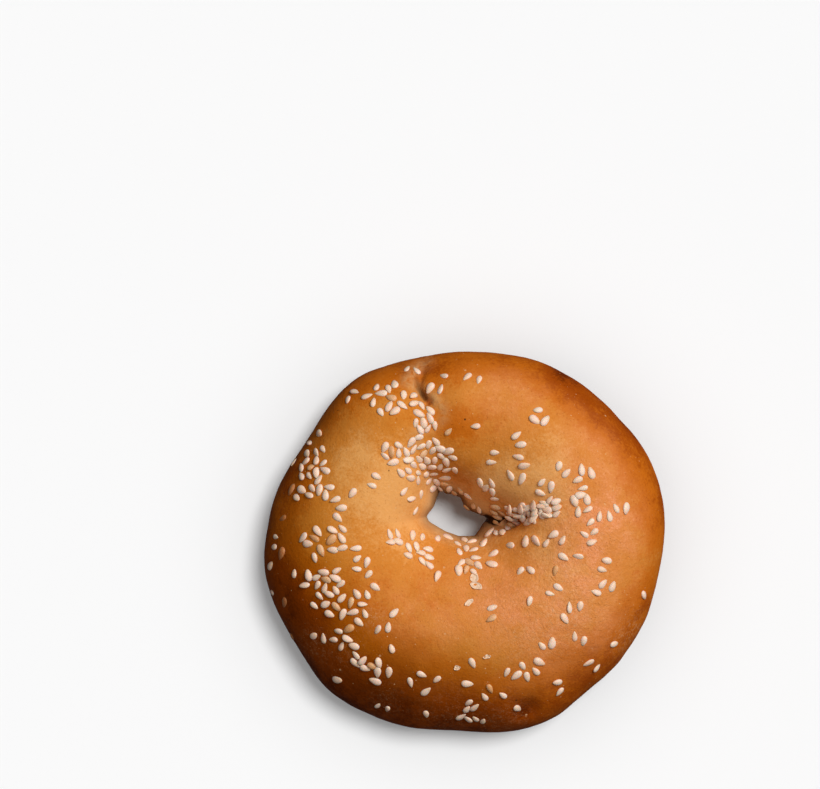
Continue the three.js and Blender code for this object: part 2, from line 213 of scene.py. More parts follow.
# Where the skin of the lapped seam is pale and wrinkled: depth here is how strongly.
SEAM_SKIN = Furrow(1.7, (
    (-10.6, 50, 0.6), (-15.2, 46.6, 1.0), (-16.4, 44.6, 0.9), (-13.8, 43, 0.9), (-12, 40.8, 0.7),
    (-8.8, 39.8, 0.9), (-6.8, 37.6, 0.8), (-6.4, 34.6, 0.5), (-8, 31.4, 0.2), (-14, 30, 0.6),
    (-11, 24, 0.4), (-9, 16, 0.6),
))


@dataclass(frozen=True)
class SkinPlace:
    """A place on the skin of the ring.

    Attributes:
        point: the place, in mm.
        facing: the way the skin faces there.
        across: how far across the ring it lies, from -1 at the hole's wall to 1 at the rim.
        height_share: its height as a share of the crown's.
    """

    point: Vector
    facing: Vector
    across: float
    height_share: float


@dataclass(frozen=True)
class DoughRing:
    """The shaped ring of dough, in mm: a fat, uneven ring round a small pinched hole."""

    outline_radius: float = 54.3
    hole_centre: tuple[float, float] = (-2.9, 6.8)
    hole_corners: tuple[tuple[float, float], ...] = (
        (9.3, -0.4), (4.5, 1.6), (2.4, 3.1), (1.6, 5.1), (-0.5, 6.3), (-2.8, 6.4), (-4.2, 7.9),
        (-5.8, 2.8), (-7.8, 0.2), (-7.2, -1.2), (-2.7, -4), (1, -5.4), (5.6, -5.2), (7.8, -1.9),
    )
    hole_rounding: float = 3
    underside_hole_radius: float = 6.2
    mean_height: float = 36.6
    fat_side_rise: float = 1.2
    fat_side_at: float = 285
    widest_height: float = 15.5
    underside_depth: float = 18.4
    underside_fullness: float = 0.8
    furrow_fade: float = 0.6
    outline_swells: tuple[Swell, ...] = (
        Swell(18, 20, 1.7),
        Swell(98, 26, -1.7),
        Swell(124, 10, 1.2),
        Swell(146, 14, -1.9),
        Swell(192, 18, 1.9),
        Swell(228, 13, 1.8),
        Swell(267, 13, -1.7),
        Swell(292, 9, 0.5),
        Swell(310, 9, -0.8),
    )
    crown_swells: tuple[Swell, ...] = (
        Swell(40, 30, 0.8),
        Swell(75, 22, -0.7),
        Swell(160, 30, 0.6),
        Swell(230, 25, -0.5),
        Swell(320, 30, 0.5),
    )
    furrows: tuple[Furrow, ...] = (
        LAPPED_SEAM, SEAM_PIT, FOLD, FOLD_CREASE, LOBE_HOLLOW, DIMPLE, SADDLE
    )

    @lru_cache(maxsize=4096)
    def radii(self, degrees: float) -> tuple[float, float, float]:
        """Measures the ring at an angle.

        Args:
            degrees: the angle round the ring.

        Returns:
            The rim's radius, the hole's radius and the crown's height, in mm.
        """
        rim = self.outline_radius + sum(swell.share(degrees) for swell in self.outline_swells)
        turn = self.hole_rounding
        beside = self.hole_reach(degrees - turn) + self.hole_reach(degrees + turn)
        hole = self.hole_reach(degrees) / 2 + beside / 4
        fat_side = math.cos(math.radians(degrees - self.fat_side_at))
        crown = self.mean_height + self.fat_side_rise * fat_side
        return rim, hole, crown + sum(swell.share(degrees) for swell in self.crown_swells)

    def hole_reach(self, degrees: float) -> float:
        """Measures the hole at an angle, before its corners are rounded.

        Args:
            degrees: the angle round the hole's centre.

        Returns:
            How far its straight edges stand from its centre, in mm.
        """
        cos, sin = math.cos(math.radians(degrees)), math.sin(math.radians(degrees))
        corners = self.hole_corners
        for (ax, ay), (bx, by) in zip(corners, corners[1:] + corners[:1]):
            if ax * sin >= ay * cos and cos * by > sin * bx:
                return (ax * by - ay * bx) / (cos * (by - ay) - sin * (bx - ax))
        raise ValueError(f"the hole has no edge at {degrees} degrees")

    def place(self, degrees: float, around: float) -> SkinPlace:
        """Finds a place on the skin.

        Args:
            degrees: the angle round the ring.
            around: the angle round the section, in radians: 0 at the rim's widest line, a quarter
                turn over the crown, a half turn at the hole's wall.

        Returns:
            The place, with the furrows sunk into it.
        """
        rim_radius, hole_radius, crown = self.radii(degrees)
        direction = Vector((math.cos(math.radians(degrees)), math.sin(math.radians(degrees))))
        across, rise = math.cos(around), math.sin(around)
        wall_radius = between(hole_radius, self.underside_hole_radius, max(0.0, -rise))
        rim = direction * rim_radius
        wall = direction * wall_radius + Vector(self.hole_centre)
        outward = (rim - wall).normalized()
        plan = wall.lerp(rim, (1 + across) / 2)
        half_width = (rim - wall).length / 2
        if rise <= 0:
            height = max(0.0, self.widest_height - self.underside_depth * (-rise) ** self.underside_fullness)
            facing = Vector((outward.x * across, outward.y * across, rise)).normalized()
            return SkinPlace(Vector((plan.x, plan.y, height)), facing, across, height / crown)
        dome = crown - self.widest_height
        slope = Vector((across * dome, rise * half_width)).normalized()
        facing = Vector((outward.x * slope.x, outward.y * slope.x, slope.y))
        sunk = ease(rise, 0, self.furrow_fade) * sum(furrow.depth(plan.x, plan.y) for furrow in self.furrows)
        point = Vector((plan.x, plan.y, self.widest_height + dome * rise)) - facing * sunk
        return SkinPlace(point, facing, across, point.z / crown)


# ---------------------------------------------------------------- finishes


class ShaderTree:
    """A material's node tree, with short ways to add its nodes."""

    def __init__(self, name: str) -> None:
        """Starts an empty material.

        Args:
            name: the material's name.
        """
        self.material = bpy.data.materials.new(name)
        self.material.use_nodes = True
        self.material.node_tree.nodes.clear()

    def add(self, kind: str, inputs: dict[str | int, Input] | None = None,
            **settings: object) -> bpy.types.Node:
        """Adds a node.

        Args:
            kind: the node's type.
            inputs: by the name or number of each input, a socket to link or a plain value.
            **settings: properties of the node by name.

        Returns:
            The node.
        """
        node = self.material.node_tree.nodes.new(kind)
        for name, value in settings.items():
            setattr(node, name, value)
        for name, value in (inputs or {}).items():
            socket = node.inputs[name]
            if isinstance(value, bpy.types.NodeSocket):
                self.material.node_tree.links.new(value, socket)
            else:
                socket.default_value = (*value, 1) if socket.type == "RGBA" else value
        return node

    def finish(self, surface: bpy.types.Node) -> bpy.types.Material:
        """Ends the tree in its surface shader.

        Args:
            surface: the shader.

        Returns:
            The finished material.
        """
        self.add("ShaderNodeOutputMaterial", {"Surface": surface.outputs["BSDF"]})
        return self.material

    def noise(self, place: bpy.types.NodeSocket, grain: float, detail: float = 3, roughness: float = 0.55,
              distortion: float = 0) -> bpy.types.NodeSocket:
        """A noise pattern.

        Args:
            place: the coordinates it is read at, in metres.
            grain: the size of its blotches, in mm.
            detail: how many finer layers it has.
            roughness: how strong the finer layers are.
            distortion: how far the pattern swirls.

        Returns:
            Its value, about 0.5 on average.
        """
        return self.add("ShaderNodeTexNoise", {
            "Vector": place, "Scale": 1 / (grain * MM), "Detail": detail, "Roughness": roughness,
            "Distortion": distortion,
        }).outputs["Fac"]

    def flecks(self, place: bpy.types.NodeSocket, spacing: float, radius: float,
               share: float) -> bpy.types.NodeSocket:
        """Scattered round dots.

        Args:
            place: the coordinates they lie at, in metres.
            spacing: how far apart the places for dots are, in mm.
            radius: a dot's radius, in mm.
            share: the share of the places that has a dot.

        Returns:
            One inside a dot, zero outside.
        """
        edge = 0.01
        cells = self.add("ShaderNodeTexVoronoi", {"Vector": place, "Scale": 1 / (spacing * MM)})
        chance = self.add("ShaderNodeSeparateColor", {"Color": cells.outputs["Color"]})
        dot = self.remap(cells.outputs["Distance"], radius / spacing, 0.5 * radius / spacing)
        chosen = self.remap(chance.outputs["Red"], 1 - share - edge, 1 - share + edge)
        return self.times(dot, chosen)

    def remap(self, value: bpy.types.NodeSocket, low: float, high: float, to_low: float = 0,
              to_high: float = 1) -> bpy.types.NodeSocket:
        """Stretches a value from one range to another, eased and clamped at both ends."""
        return self.add("ShaderNodeMapRange", {
            "Value": value, "From Min": low, "From Max": high, "To Min": to_low, "To Max": to_high,
        }, interpolation_type="SMOOTHSTEP").outputs["Result"]

    def calculate(self, kind: str, terms: tuple[Input, ...]) -> bpy.types.NodeSocket:
        """Runs one math operation along a row of values.

        Args:
            kind: the operation, such as ADD.
            terms: sockets or plain numbers.

        Returns:
            The result.
        """
        total = terms[0]
        for term in terms[1:]:
            total = self.add("ShaderNodeMath", {0: total, 1: term}, operation=kind).outputs["Value"]
        return total

    def sum(self, *terms: Input) -> bpy.types.NodeSocket:
        """Adds up sockets and plain numbers."""
        return self.calculate("ADD", terms)

    def times(self, *terms: Input) -> bpy.types.NodeSocket:
        """Multiplies sockets and plain numbers."""
        return self.calculate("MULTIPLY", terms)

    def mix(self, share: bpy.types.NodeSocket, first: Input, second: Input,
            kind: str = "MIX") -> bpy.types.NodeSocket:
        """Mixes two colours.

        Args:
            share: how much of the second colour is used.
            first: the colour at share 0, a socket or a plain colour.
            second: the colour at share 1.
            kind: the blend.

        Returns:
            The mixed colour.
        """
        inputs = {"Factor": share, 6: first, 7: second}
        return self.add("ShaderNodeMix", inputs, data_type="RGBA", blend_type=kind).outputs[2]

    def ramp(self, value: bpy.types.NodeSocket,
             stops: tuple[tuple[float, Colour], ...]) -> bpy.types.NodeSocket:
        """Turns a value into a colour.

        Args:
            value: the value, from 0 to 1.
            stops: the colours and where they stand along it.

        Returns:
            The colour.
        """
        node = self.add("ShaderNodeValToRGB", {"Fac": value})
        node.color_ramp.interpolation = "EASE"
        elements = node.color_ramp.elements
        while len(elements) < len(stops):
            elements.new(0.5)
        for element, (at, colour) in zip(elements, stops):
            element.position = at
            element.color = (*colour, 1)
        return node.outputs["Color"]

    def attribute(self, name: str) -> bpy.types.NodeSocket:
        """A value that the mesh carries on its points."""
        return self.add("ShaderNodeAttribute", attribute_name=name).outputs["Fac"]

    def place(self) -> bpy.types.NodeSocket:
        """The coordinates that the patterns are read at, in metres."""
        return self.add("ShaderNodeTexCoord").outputs["Object"]

    def bumps(self, *layers: tuple[bpy.types.NodeSocket, float]) -> bpy.types.NodeSocket:
        """Stacks bump layers.

        Args:
            *layers: a height pattern and its depth in mm, one pair for each layer.

        Returns:
            The bumped normal.
        """
        below = {}
        for height, depth in layers:
            inputs = {"Height": height, "Strength": 1, "Distance": depth * MM, **below}
            below["Normal"] = self.add("ShaderNodeBump", inputs).outputs["Normal"]
        return below["Normal"]


@dataclass(frozen=True)
class CrustFinish:
    """Boiled and baked wheat crust: golden by the hole, amber on the crown, brown at the rim.

    The tones run along the browning. The painted shade on the side away from the light, the pale speckle
    that is partly painted glints, and the pore multiply the colour, and the others cover it, the painted
    shade of pits, creases and the hole's lip last. The flour's grains have their spacing and radius in mm,
    and their share of the places.
    """

    tones: tuple[tuple[float, Colour], ...] = (
        (0.0, (0.75, 0.345, 0.10)),
        (0.3, (0.60, 0.20, 0.026)),
        (0.55, (0.52, 0.125, 0.006)),
        (0.8, (0.33, 0.058, 0.002)),
        (1.0, (0.14, 0.02, 0.001)),
    )
    # the crust's own pinkish red, partly a painted sheen where the crust faces the light
    blush_and_sheen: Colour = (0.76, 0.27, 0.10)
    # pale, bluish speckles: partly the crust's mottling, partly painted glints of its crinkles
    fleck_and_glint: Colour = (1.16, 1.36, 2.0)
    pore: Colour = (0.62, 0.5, 0.4)
    flour: Colour = (0.74, 0.45, 0.23)
    char: Colour = (0.10, 0.03, 0.008)
    skin: Colour = (0.62, 0.36, 0.155)
    # the hole's wall: duller, less orange dough, a little stronger on the side away from the light as
    # painted shade
    inner: Colour = (0.48, 0.30, 0.155)
    # painted shade: multiplies the crust darker on the side away from the light
    painted_shade_colour: Colour = (0.64, 0.60, 0.15)
    # painted shade in the seam's pit, the fold's crease and along the hole's lip
    crevice_shade: Colour = (0.05, 0.018, 0.006)
    flour_grains: tuple[tuple[float, float, float], ...] = (
        (0.9, 0.11, 0.35), (1.9, 0.22, 0.4), (5.5, 0.42, 0.3),
    )

    def colour(self, shader: ShaderTree, place: bpy.types.NodeSocket) -> bpy.types.NodeSocket:
        """Builds the crust's colour.

        Args:
            shader: the material's tree.
            place: the coordinates, in metres.

        Returns:
            The colour.
        """
        painted_shade = shader.attribute("painted_shade")
        even = shader.sum(1, shader.times(painted_shade, -0.7))
        blotches = shader.remap(shader.noise(place, 15, detail=4), 0.3, 0.7, -0.07, 0.07)
        patches = shader.remap(shader.noise(place, 4.5, detail=3), 0.3, 0.7, -0.05, 0.05)
        grain = shader.remap(shader.noise(place, 0.8, detail=3, roughness=0.7), 0.3, 0.7, -0.06, 0.06)
        uneven = shader.times(shader.sum(blotches, patches, grain), even)
        tone = shader.ramp(shader.sum(shader.attribute("browning"), uneven), self.tones)

        # pinkish red, partly the crust's own and partly a painted sheen
        blush_and_sheen_noise = shader.remap(shader.noise(place, 6, detail=4), 0.35, 0.65, 0.45, 1)
        blush_and_sheen_share = shader.times(shader.attribute("blush_and_sheen"), blush_and_sheen_noise)
        tone = shader.mix(blush_and_sheen_share, tone, self.blush_and_sheen)
        # pale speckles, strongest where the pinkish red is: partly the crust's mottling, partly painted
        # glints
        speckle_and_glint = shader.noise(place, 0.7, detail=4, roughness=0.8, distortion=1.2)
        speckle_and_glint = shader.times(shader.remap(speckle_and_glint, 0.48, 0.64), shader.sum(blush_and_sheen_share, 0.3))
        tone = shader.mix(speckle_and_glint, tone, self.fleck_and_glint, kind="MULTIPLY")
        pores = shader.times(shader.flecks(place, 0.95, 0.28, 0.45), 0.4)
        tone = shader.mix(pores, tone, self.pore, kind="MULTIPLY")

        # the hole's wall tint: duller dough, and painted shade on the side away from the light
        tone = shader.mix(shader.times(shader.attribute("inner"), 0.6), tone, self.inner)
        wrinkled = shader.remap(self.wrinkles(shader, place), 0.2, 0.65)
        tone = shader.mix(shader.times(shader.attribute("seam"), wrinkled, 0.7), tone, self.skin)
        # painted shade: the crust darkened on the side away from the light
        tone = shader.mix(painted_shade, tone, self.painted_shade_colour, kind="MULTIPLY")

        floury = shader.remap(shader.noise(place, 8, detail=3), 0.40, 0.60, 0.1, 0.75)
        for spacing, radius, share in self.flour_grains:
            flour = shader.times(shader.flecks(place, spacing, radius, share), floury)
            tone = shader.mix(flour, tone, self.flour)
        dusty = shader.attribute("dusty")
        dust = shader.times(shader.flecks(place, 0.6, 0.17, 0.4), dusty, even, 0.9)
        tone = shader.mix(dust, tone, self.flour)
        haze = shader.noise(place, 1.1, detail=4, roughness=0.75, distortion=0.8)
        haze = shader.times(shader.remap(haze, 0.48, 0.66, 0, 0.45), dusty, even)
        tone = shader.mix(haze, tone, self.flour)
        tone = shader.mix(shader.flecks(place, 7, 0.38, 0.16), tone, self.char)
        # painted shade in the seam's pit, the fold's crease and along the hole's lip
        return shader.mix(shader.attribute("crevice_shade"), tone, self.crevice_shade)

    def wrinkles(self, shader: ShaderTree, place: bpy.types.NodeSocket) -> bpy.types.NodeSocket:
        """The wrinkles of the skin along the seam, in colour and in relief alike."""
        return shader.noise(place, 2.4, detail=4, roughness=0.6, distortion=0.6)

    def relief(self, shader: ShaderTree, place: bpy.types.NodeSocket) -> bpy.types.NodeSocket:
        """Builds the crust's bumps.

        Args:
            shader: the material's tree.
            place: the coordinates, in metres.

        Returns:
            The bumped normal.
        """
        pebble = shader.noise(place, 1.2, detail=3, roughness=0.6, distortion=0.4)
        pores = shader.noise(place, 0.42, detail=2, roughness=0.6)
        folds = shader.times(shader.attribute("seam"), self.wrinkles(shader, place))
        crinkles = shader.noise(place, 1.8, detail=3, roughness=0.6, distortion=1.8)
        crinkled = shader.times(shader.attribute("blush_and_sheen"), crinkles)
        return shader.bumps((pebble, 0.14), (pores, 0.07), (folds, 0.4), (crinkled, 0.4))

    def make(self) -> bpy.types.Material:
        """Builds the material.

        Returns:
            The crust's material.
        """
        shader = ShaderTree("crust")
        place = shader.place()
        gloss = shader.remap(shader.noise(place, 2.4, detail=4, roughness=0.6), 0.3, 0.7, 0.42, 0.58)
        return shader.finish(shader.add("ShaderNodeBsdfPrincipled", {
            "Base Color": self.colour(shader, place),
            "Roughness": gloss,
            "IOR": 1.45,
            "Specular IOR Level": 0.02,
            "Specular Tint": (1.0, 0.7, 0.25),
            "Normal": self.relief(shader, place),
        }))


@dataclass(frozen=True)
class SesameFinish:
    """A hulled sesame seed: cream, browner at the pointed tip, softly translucent."""

    name: str
    body: Colour
    shade: Colour
    tip: Colour
    roughness: float = 0.48
    translucency: float = 0.5

    def make(self) -> bpy.types.Material:
        """Builds the material.

        Returns:
            The seed's material.
        """
        shader = ShaderTree(self.name)
        place = shader.place()
        body = shader.mix(shader.attribute("tone"), self.body, self.shade)
        tipped = shader.times(shader.remap(shader.attribute("along"), 0.55, 1.0), 0.7)
        body = shader.mix(tipped, body, self.tip)
        streaks = shader.remap(shader.noise(place, 0.5, detail=3), 0.35, 0.7, 0, 0.25)
        return shader.finish(shader.add("ShaderNodeBsdfPrincipled", {
            "Base Color": shader.mix(streaks, body, self.shade),
            "Roughness": self.roughness,
            "IOR": 1.45,
            "Subsurface Weight": self.translucency,
            "Subsurface Radius": (1.0, 0.6, 0.35),
            "Subsurface Scale": 0.8 * MM,
            "Normal": shader.bumps((shader.noise(place, 0.3, detail=2), 0.03)),
        }))


@dataclass(frozen=True)
class FloorFinish:
    """A plain pale matt floor."""

    colour: Colour = (0.90, 0.90, 0.90)

    def make(self) -> bpy.types.Material:
        """Builds the material.

        Returns:
            The floor's material.
        """
        shader = ShaderTree("floor")
        return shader.finish(shader.add("ShaderNodeBsdfDiffuse", {"Color": self.colour}))


# ---------------------------------------------------------------- the crust


@dataclass(frozen=True)
class Patch:
    """A soft-edged patch of the crust: its middle in plan and its radius in mm, and its strength."""

    x: float
    y: float
    radius: float
    strength: float

    def share(self, point: Vector) -> float:
        """The patch's part of its strength at a point."""
        apart = (point.x - self.x) ** 2 + (point.y - self.y) ** 2
        return self.strength * math.exp(-apart / self.radius ** 2)


@dataclass
class Crust:
    """The bagel's skin: a torus of fine faces drawn onto the dough's form, with its small relief."""

    dough: DoughRing
    steps_round: int = 512
    steps_section: int = 190
    crown_crowding: float = 0.45
    # the small relief, in mm, and the share of the puckers that is there away from the seam
    lump_height: float = 0.35
    lump_size: float = 14
    small_lump_height: float = 0.14
    small_lump_size: float = 6
    pucker_height: float = 0.12
    pucker_size: float = 2.2
    pucker_share: float = 0.35
    smooth_base: float = 4
    # the browning by height, as a share of the crown's
    crown_browning: float = 0.33
    under_browning: float = 0.12
    under_heights: Span = (0.4, 0.2)
    base_paling: float = 0.25
    base_heights: Span = (0.07, 0)
    # the rim on the pale side and on the brown side, which lies away from the light and whose extra browning
    # is
    #     # partly real and partly painted shade: where it starts and ends across, how brown it is
    rim_starts: Span = (0.40, -0.22)
    rim_ends: Span = (1.0, 0.76)
    rim_browning: Span = (0.33, 0.60)
    brown_and_shaded_side_at: float = 234
    brown_and_shaded_side_falloff: float = 3
    # where patches and the painted shade come in and fade, by height and across, and how much they fade
    top_heights: Span = (0.3, 0.6)
    painted_shade_starts: Span = (-0.2, 0.4)
    painted_shade_fades: Span = (0.68, 0.97)
    painted_shade_fading: float = 0.7
    blush_and_sheen_fades: Span = (0.6, 0.95)
    # the hole's wall, a duller tint that is a little stronger on the shaded side as painted shade, and its
    # lip,
    #     # whose painted shade is darkest on the shaded side
    shaded_side_at: float = 60
    wall_across: Span = (-0.86, -1)
    wall_strength: Span = (0.8, 1)
    lip_across: Span = (-0.95, -1)
    lip_strength: float = 0.7
    # the depths of a furrow between which its painted shade comes in, in mm
    pit_depths: Span = (1, 2.6)
    pit_strength: float = 0.8
    crease_depths: Span = (0.9, 3.4)
    # patches of lighter or darker browning; some lighter ones are painted light that brightens crust lying
    # in shade, on the lobe above the heap and round the saddle right of the hole
    bakes_and_painted_light: tuple[Patch, ...] = (
        Patch(-18, 12, 16, -0.32), Patch(-3, 31, 8, 0.22), Patch(-9.8, 47, 3, 0.08),
        Patch(25, -3, 10, -0.24), Patch(16, -45.5, 3, 0.18), Patch(32, 43, 7, 0.20),
        Patch(27, 48.5, 5, 0.20), Patch(-35, 28, 11, -0.18), Patch(9, 16, 8, -0.31),
        Patch(24, 15, 9, -0.20), Patch(31, -29, 8, 0.12), Patch(51, -4, 7, -0.20),
        Patch(-47, 2, 8, -0.18), Patch(-16, -12, 12, 0.08), Patch(22, 28, 7, -0.12),
        Patch(43, 31, 8, 0.20), Patch(-34, -27, 9, -0.14), Patch(2, 52, 5, -0.12),
        Patch(6, 0, 6, -0.15),
    )
    # patches of pinkish red, mostly on the side towards the light, where they are partly painted sheen
    blush_and_sheen_patches: tuple[Patch, ...] = (
        Patch(36, 6, 13, 0.9), Patch(28, -17, 15, 0.8), Patch(8, -14, 10, 0.5), Patch(12, 42, 11, 0.45),
        Patch(33, 28, 10, 0.4), Patch(-12, -22, 16, 0.35), Patch(16, -29, 9, 0.3),
    )
    dusts: tuple[Patch, ...] = (
        Patch(-41, -27, 4, 1.0), Patch(-33, -30, 5, 0.7), Patch(-22, -42, 5, 0.6), Patch(26, -20, 8, 0.7),
        Patch(46, -26, 6, 0.8), Patch(-26, -20, 4, 0.8), Patch(10, -49, 7, 0.5), Patch(14, -28, 9, 0.4),
        Patch(-6, -45, 8, 0.4),
    )
    finish: CrustFinish = field(default_factory=CrustFinish)

    def brown_and_shaded_side(self, degrees: float) -> float:
        """How near an angle round the ring is to the side that browned most and lies away from the light,
        from 0 to 1.
        """
        return side_share(degrees, self.brown_and_shaded_side_at) ** self.brown_and_shaded_side_falloff

    def browning(self, degrees: float, place: SkinPlace) -> float:
        """How far the crust has browned at a place, from 0, golden, to 1, dark; some of its patches are
        painted light, and its extra rim browning on the side away from the light is partly painted shade.

        Args:
            degrees: the angle round the ring.
            place: the place on the skin.

        Returns:
            The browning.
        """
        brown_and_shaded_side = self.brown_and_shaded_side(degrees)
        starts, ends = between(*self.rim_starts, brown_and_shaded_side), between(*self.rim_ends, brown_and_shaded_side)
        # the extra rim browning on the side away from the light is partly real browning and partly painted
        # shade
        rim = between(*self.rim_browning, brown_and_shaded_side) * ease(place.across, starts, ends)
        under = self.under_browning * ease(place.height_share, *self.under_heights)
        base = self.base_paling * ease(place.height_share, *self.base_heights)
        patches = sum(patch.share(place.point) for patch in self.bakes_and_painted_light)
        return self.crown_browning + rim + under - base + patches

    def skin_values(self, degrees: float, place: SkinPlace) -> dict[str, float]:
        """Works out what the finish reads at a place.

        Args:
            degrees: the angle round the ring.
            place: the place on the skin.

        Returns:
            The values, by the names of the finish's attributes.
        """
        x, y, _ = place.point
        top = ease(place.height_share, *self.top_heights)
        shaded_side = side_share(degrees, self.shaded_side_at)
        fading = 1 - self.painted_shade_fading * ease(place.across, *self.painted_shade_fades)
        blush_and_sheen = min(1.0, sum(patch.share(place.point) for patch in self.blush_and_sheen_patches))
        # painted shade: in the seam's pit, along the hole's lip on the side away from the light, and in the
        # fold's crease
        pit = self.pit_strength * ease(SEAM_PIT.depth(x, y), *self.pit_depths) * top
        lip = self.lip_strength * ease(place.across, *self.lip_across) * shaded_side
        crease = ease(FOLD_CREASE.depth(x, y), *self.crease_depths)
        return {
            "browning": self.browning(degrees, place),
            # painted shade on the side away from the light, fading towards the rim
            "painted_shade": self.brown_and_shaded_side(degrees) * ease(place.across, *self.painted_shade_starts) * fading,
            "blush_and_sheen": blush_and_sheen * top * (1 - ease(place.across, *self.blush_and_sheen_fades)),
            "dusty": min(1.0, sum(patch.share(place.point) for patch in self.dusts)) * top,
            # the wall tint, a little stronger on the side away from the light as painted shade
            "inner": ease(place.across, *self.wall_across) * between(*self.wall_strength, shaded_side),
            "seam": min(1.0, SEAM_SKIN.depth(x, y)) * top,
            "crevice_shade": max(pit, lip, crease),
        }

    def relief(self, place: SkinPlace) -> float:
        """Works out the skin's small relief.

        Args:
            place: the place on the skin.

        Returns:
            How far the skin stands out there, in mm along the way it faces.
        """
        lumps = self.lump_height * noise.noise(place.point / self.lump_size)
        small_lumps = self.small_lump_height * noise.noise(place.point / self.small_lump_size)
        puckers = self.pucker_height * noise.noise(place.point / self.pucker_size)
        puckered = self.pucker_share + SEAM_SKIN.depth(place.point.x, place.point.y)
        return ease(place.point.z, 0, self.smooth_base) * (lumps + small_lumps + puckers * puckered)

    def model(self) -> bmesh.types.BMesh:
        """Shapes the skin.

        Returns:
            The skin as a bmesh, in metres, with the values that its finish reads on its points.
        """
        skin = bmesh.new()
        ring_radius = 2
        bmesh.ops.create_circle(skin, segments=self.steps_section, radius=1)
        bmesh.ops.rotate(skin, verts=skin.verts, cent=(0, 0, 0), matrix=Matrix.Rotation(math.pi / 2, 3, "X"))
        bmesh.ops.translate(skin, verts=skin.verts, vec=(ring_radius, 0, 0))
        bmesh.ops.spin(
            skin, geom=skin.verts[:] + skin.edges[:], cent=(0, 0, 0), axis=(0, 0, 1),
            angle=2 * math.pi, steps=self.steps_round, use_merge=True,
        )
        layers = skin.verts.layers.float
        for name in SKIN_VALUES:
            layers.new(name)
        for vert in skin.verts:
            degrees = round(math.degrees(math.atan2(vert.co.y, vert.co.x)), ndigits=3)
            even = math.atan2(vert.co.z, math.hypot(vert.co.x, vert.co.y) - ring_radius)
            place = self.dough.place(degrees, even + self.crown_crowding * math.cos(even))
            for name, value in self.skin_values(degrees, place).items():
                vert[layers[name]] = value
            point = place.point + place.facing * self.relief(place)
            vert.co = Vector((point.x, point.y, max(0.0, point.z))) * MM
        bmesh.ops.recalc_face_normals(skin, faces=skin.faces)
        return skin

    def build(self) -> BVHTree:
        """Makes the crust.

        Returns:
            The crust's surface, for seating the seeds on it.
        """
        skin = self.model()
        surface = BVHTree.FromBMesh(skin)
        piece = object_from("bagel_crust", skin)
        dress_as_part(piece, self.finish.make())
        return surface


# ---------------------------------------------------------------- the seeds


class SeedKind(Enum):
    """What has become of a seed in the oven."""

    PALE = "pale"
    TOASTED = "toasted"
    GLAZED = "glazed"


@dataclass(frozen=True)
class Handful:
    """Seeds that fell together: a patch in plan, in mm and degrees, and how many of them toasted.

    One with only a place is a seed that fell alone.
    """

    x: float
    y: float
    half_length: float = 0.2
    half_width: float = 0.2
    turn: float = 0
    count: int = 1
    toasted: int = 0
    glazed: int = 0

    def kinds(self) -> list[SeedKind]:
        """The kinds of its seeds."""
        pale = self.count - self.toasted - self.glazed
        return [SeedKind.TOASTED] * self.toasted + [SeedKind.GLAZED] * self.glazed + [SeedKind.PALE] * pale

    def places(self, draw: SeededDraw, jitter: float) -> list[Vector]:
        """Scatters the seeds: an even spiral spread, each seed strayed a little.

        Args:
            draw: the stream of random numbers.
            jitter: how far a seed strays, in seed spacings.

        Returns:
            The places in plan, in mm.
        """
        stray = jitter * math.sqrt(math.pi * self.half_length * self.half_width / self.count)
        start = math.radians(360 * draw())
        cos, sin = math.cos(math.radians(self.turn)), math.sin(math.radians(self.turn))
        found = []
        for k in range(self.count):
            reach = math.sqrt((k + 0.5) / self.count)
            angle = start + k * GOLDEN_ANGLE
            along = self.half_length * reach * math.cos(angle) + stray * draw.signed()
            across = self.half_width * reach * math.sin(angle) + stray * draw.signed()
            found.append(Vector((self.x + along * cos - across * sin, self.y + along * sin + across * cos)))
        return found


# Seeds that lie close together.
THICK = (
    # along the lapped seam, from the rim to the hole
    Handful(-22, 39.6, 6.2, 4.6, 0, 12, toasted=1),
    Handful(-14.4, 39.8, 1.2, 0.3, 90, 2),
    Handful(-8, 42, 2.4, 0.4, -35, 2),
    Handful(-11.4, 33.8, 4.2, 3.4, 104, 9),
    Handful(-20.4, 24.6, 3.6, 3.4, 0, 6, toasted=1),
    Handful(-12.2, 25, 5.8, 4.4, 0, 17, toasted=1),
    Handful(-13.2, 19.4, 5.6, 1.8, 8, 8),
    Handful(-4.9, 21.6, 2.4, 3.8, 0, 7),
    Handful(-9.2, 16.6, 1.6, 1.2, -30, 3),
    # the upper left of the rim
    Handful(-42, 22.4, 5.4, 4.8, 30, 14, toasted=1),
    Handful(-41.4, 14.6, 6, 2.6, 6, 8),
    # the left side
    Handful(-39.4, 0.2, 5.4, 4.4, 0, 9, toasted=3),
    Handful(-38, -10, 5.6, 3.4, -8, 12, toasted=1),
    Handful(-26.4, -32.4, 6.6, 1.2, -16, 8, toasted=1),
    # below the hole
    Handful(-20, 1.6, 1.8, 1.3, 0, 4),
    Handful(-14, -1.7, 3.4, 0.9, -12, 5),
    Handful(-10.6, -4.2, 1.8, 0.8, -70, 3),
    Handful(0, -0.8, 2.8, 1, 0, 6),
    Handful(0.9, -5.8, 2.4, 1.8, 10, 7, toasted=2),
    # the lower rim
    Handful(0.6, -44, 1.8, 1.1, 80, 3),
    Handful(1.1, -48.1, 3.2, 0.4, -6, 4),
    # the upper right lobe
    Handful(5.4, 16, 1.3, 1.6, 0, 3),
    Handful(7.6, 13, 0.5, 1.4, 20, 2),
    Handful(31.4, 13.4, 2.6, 1.6, 10, 4),
)
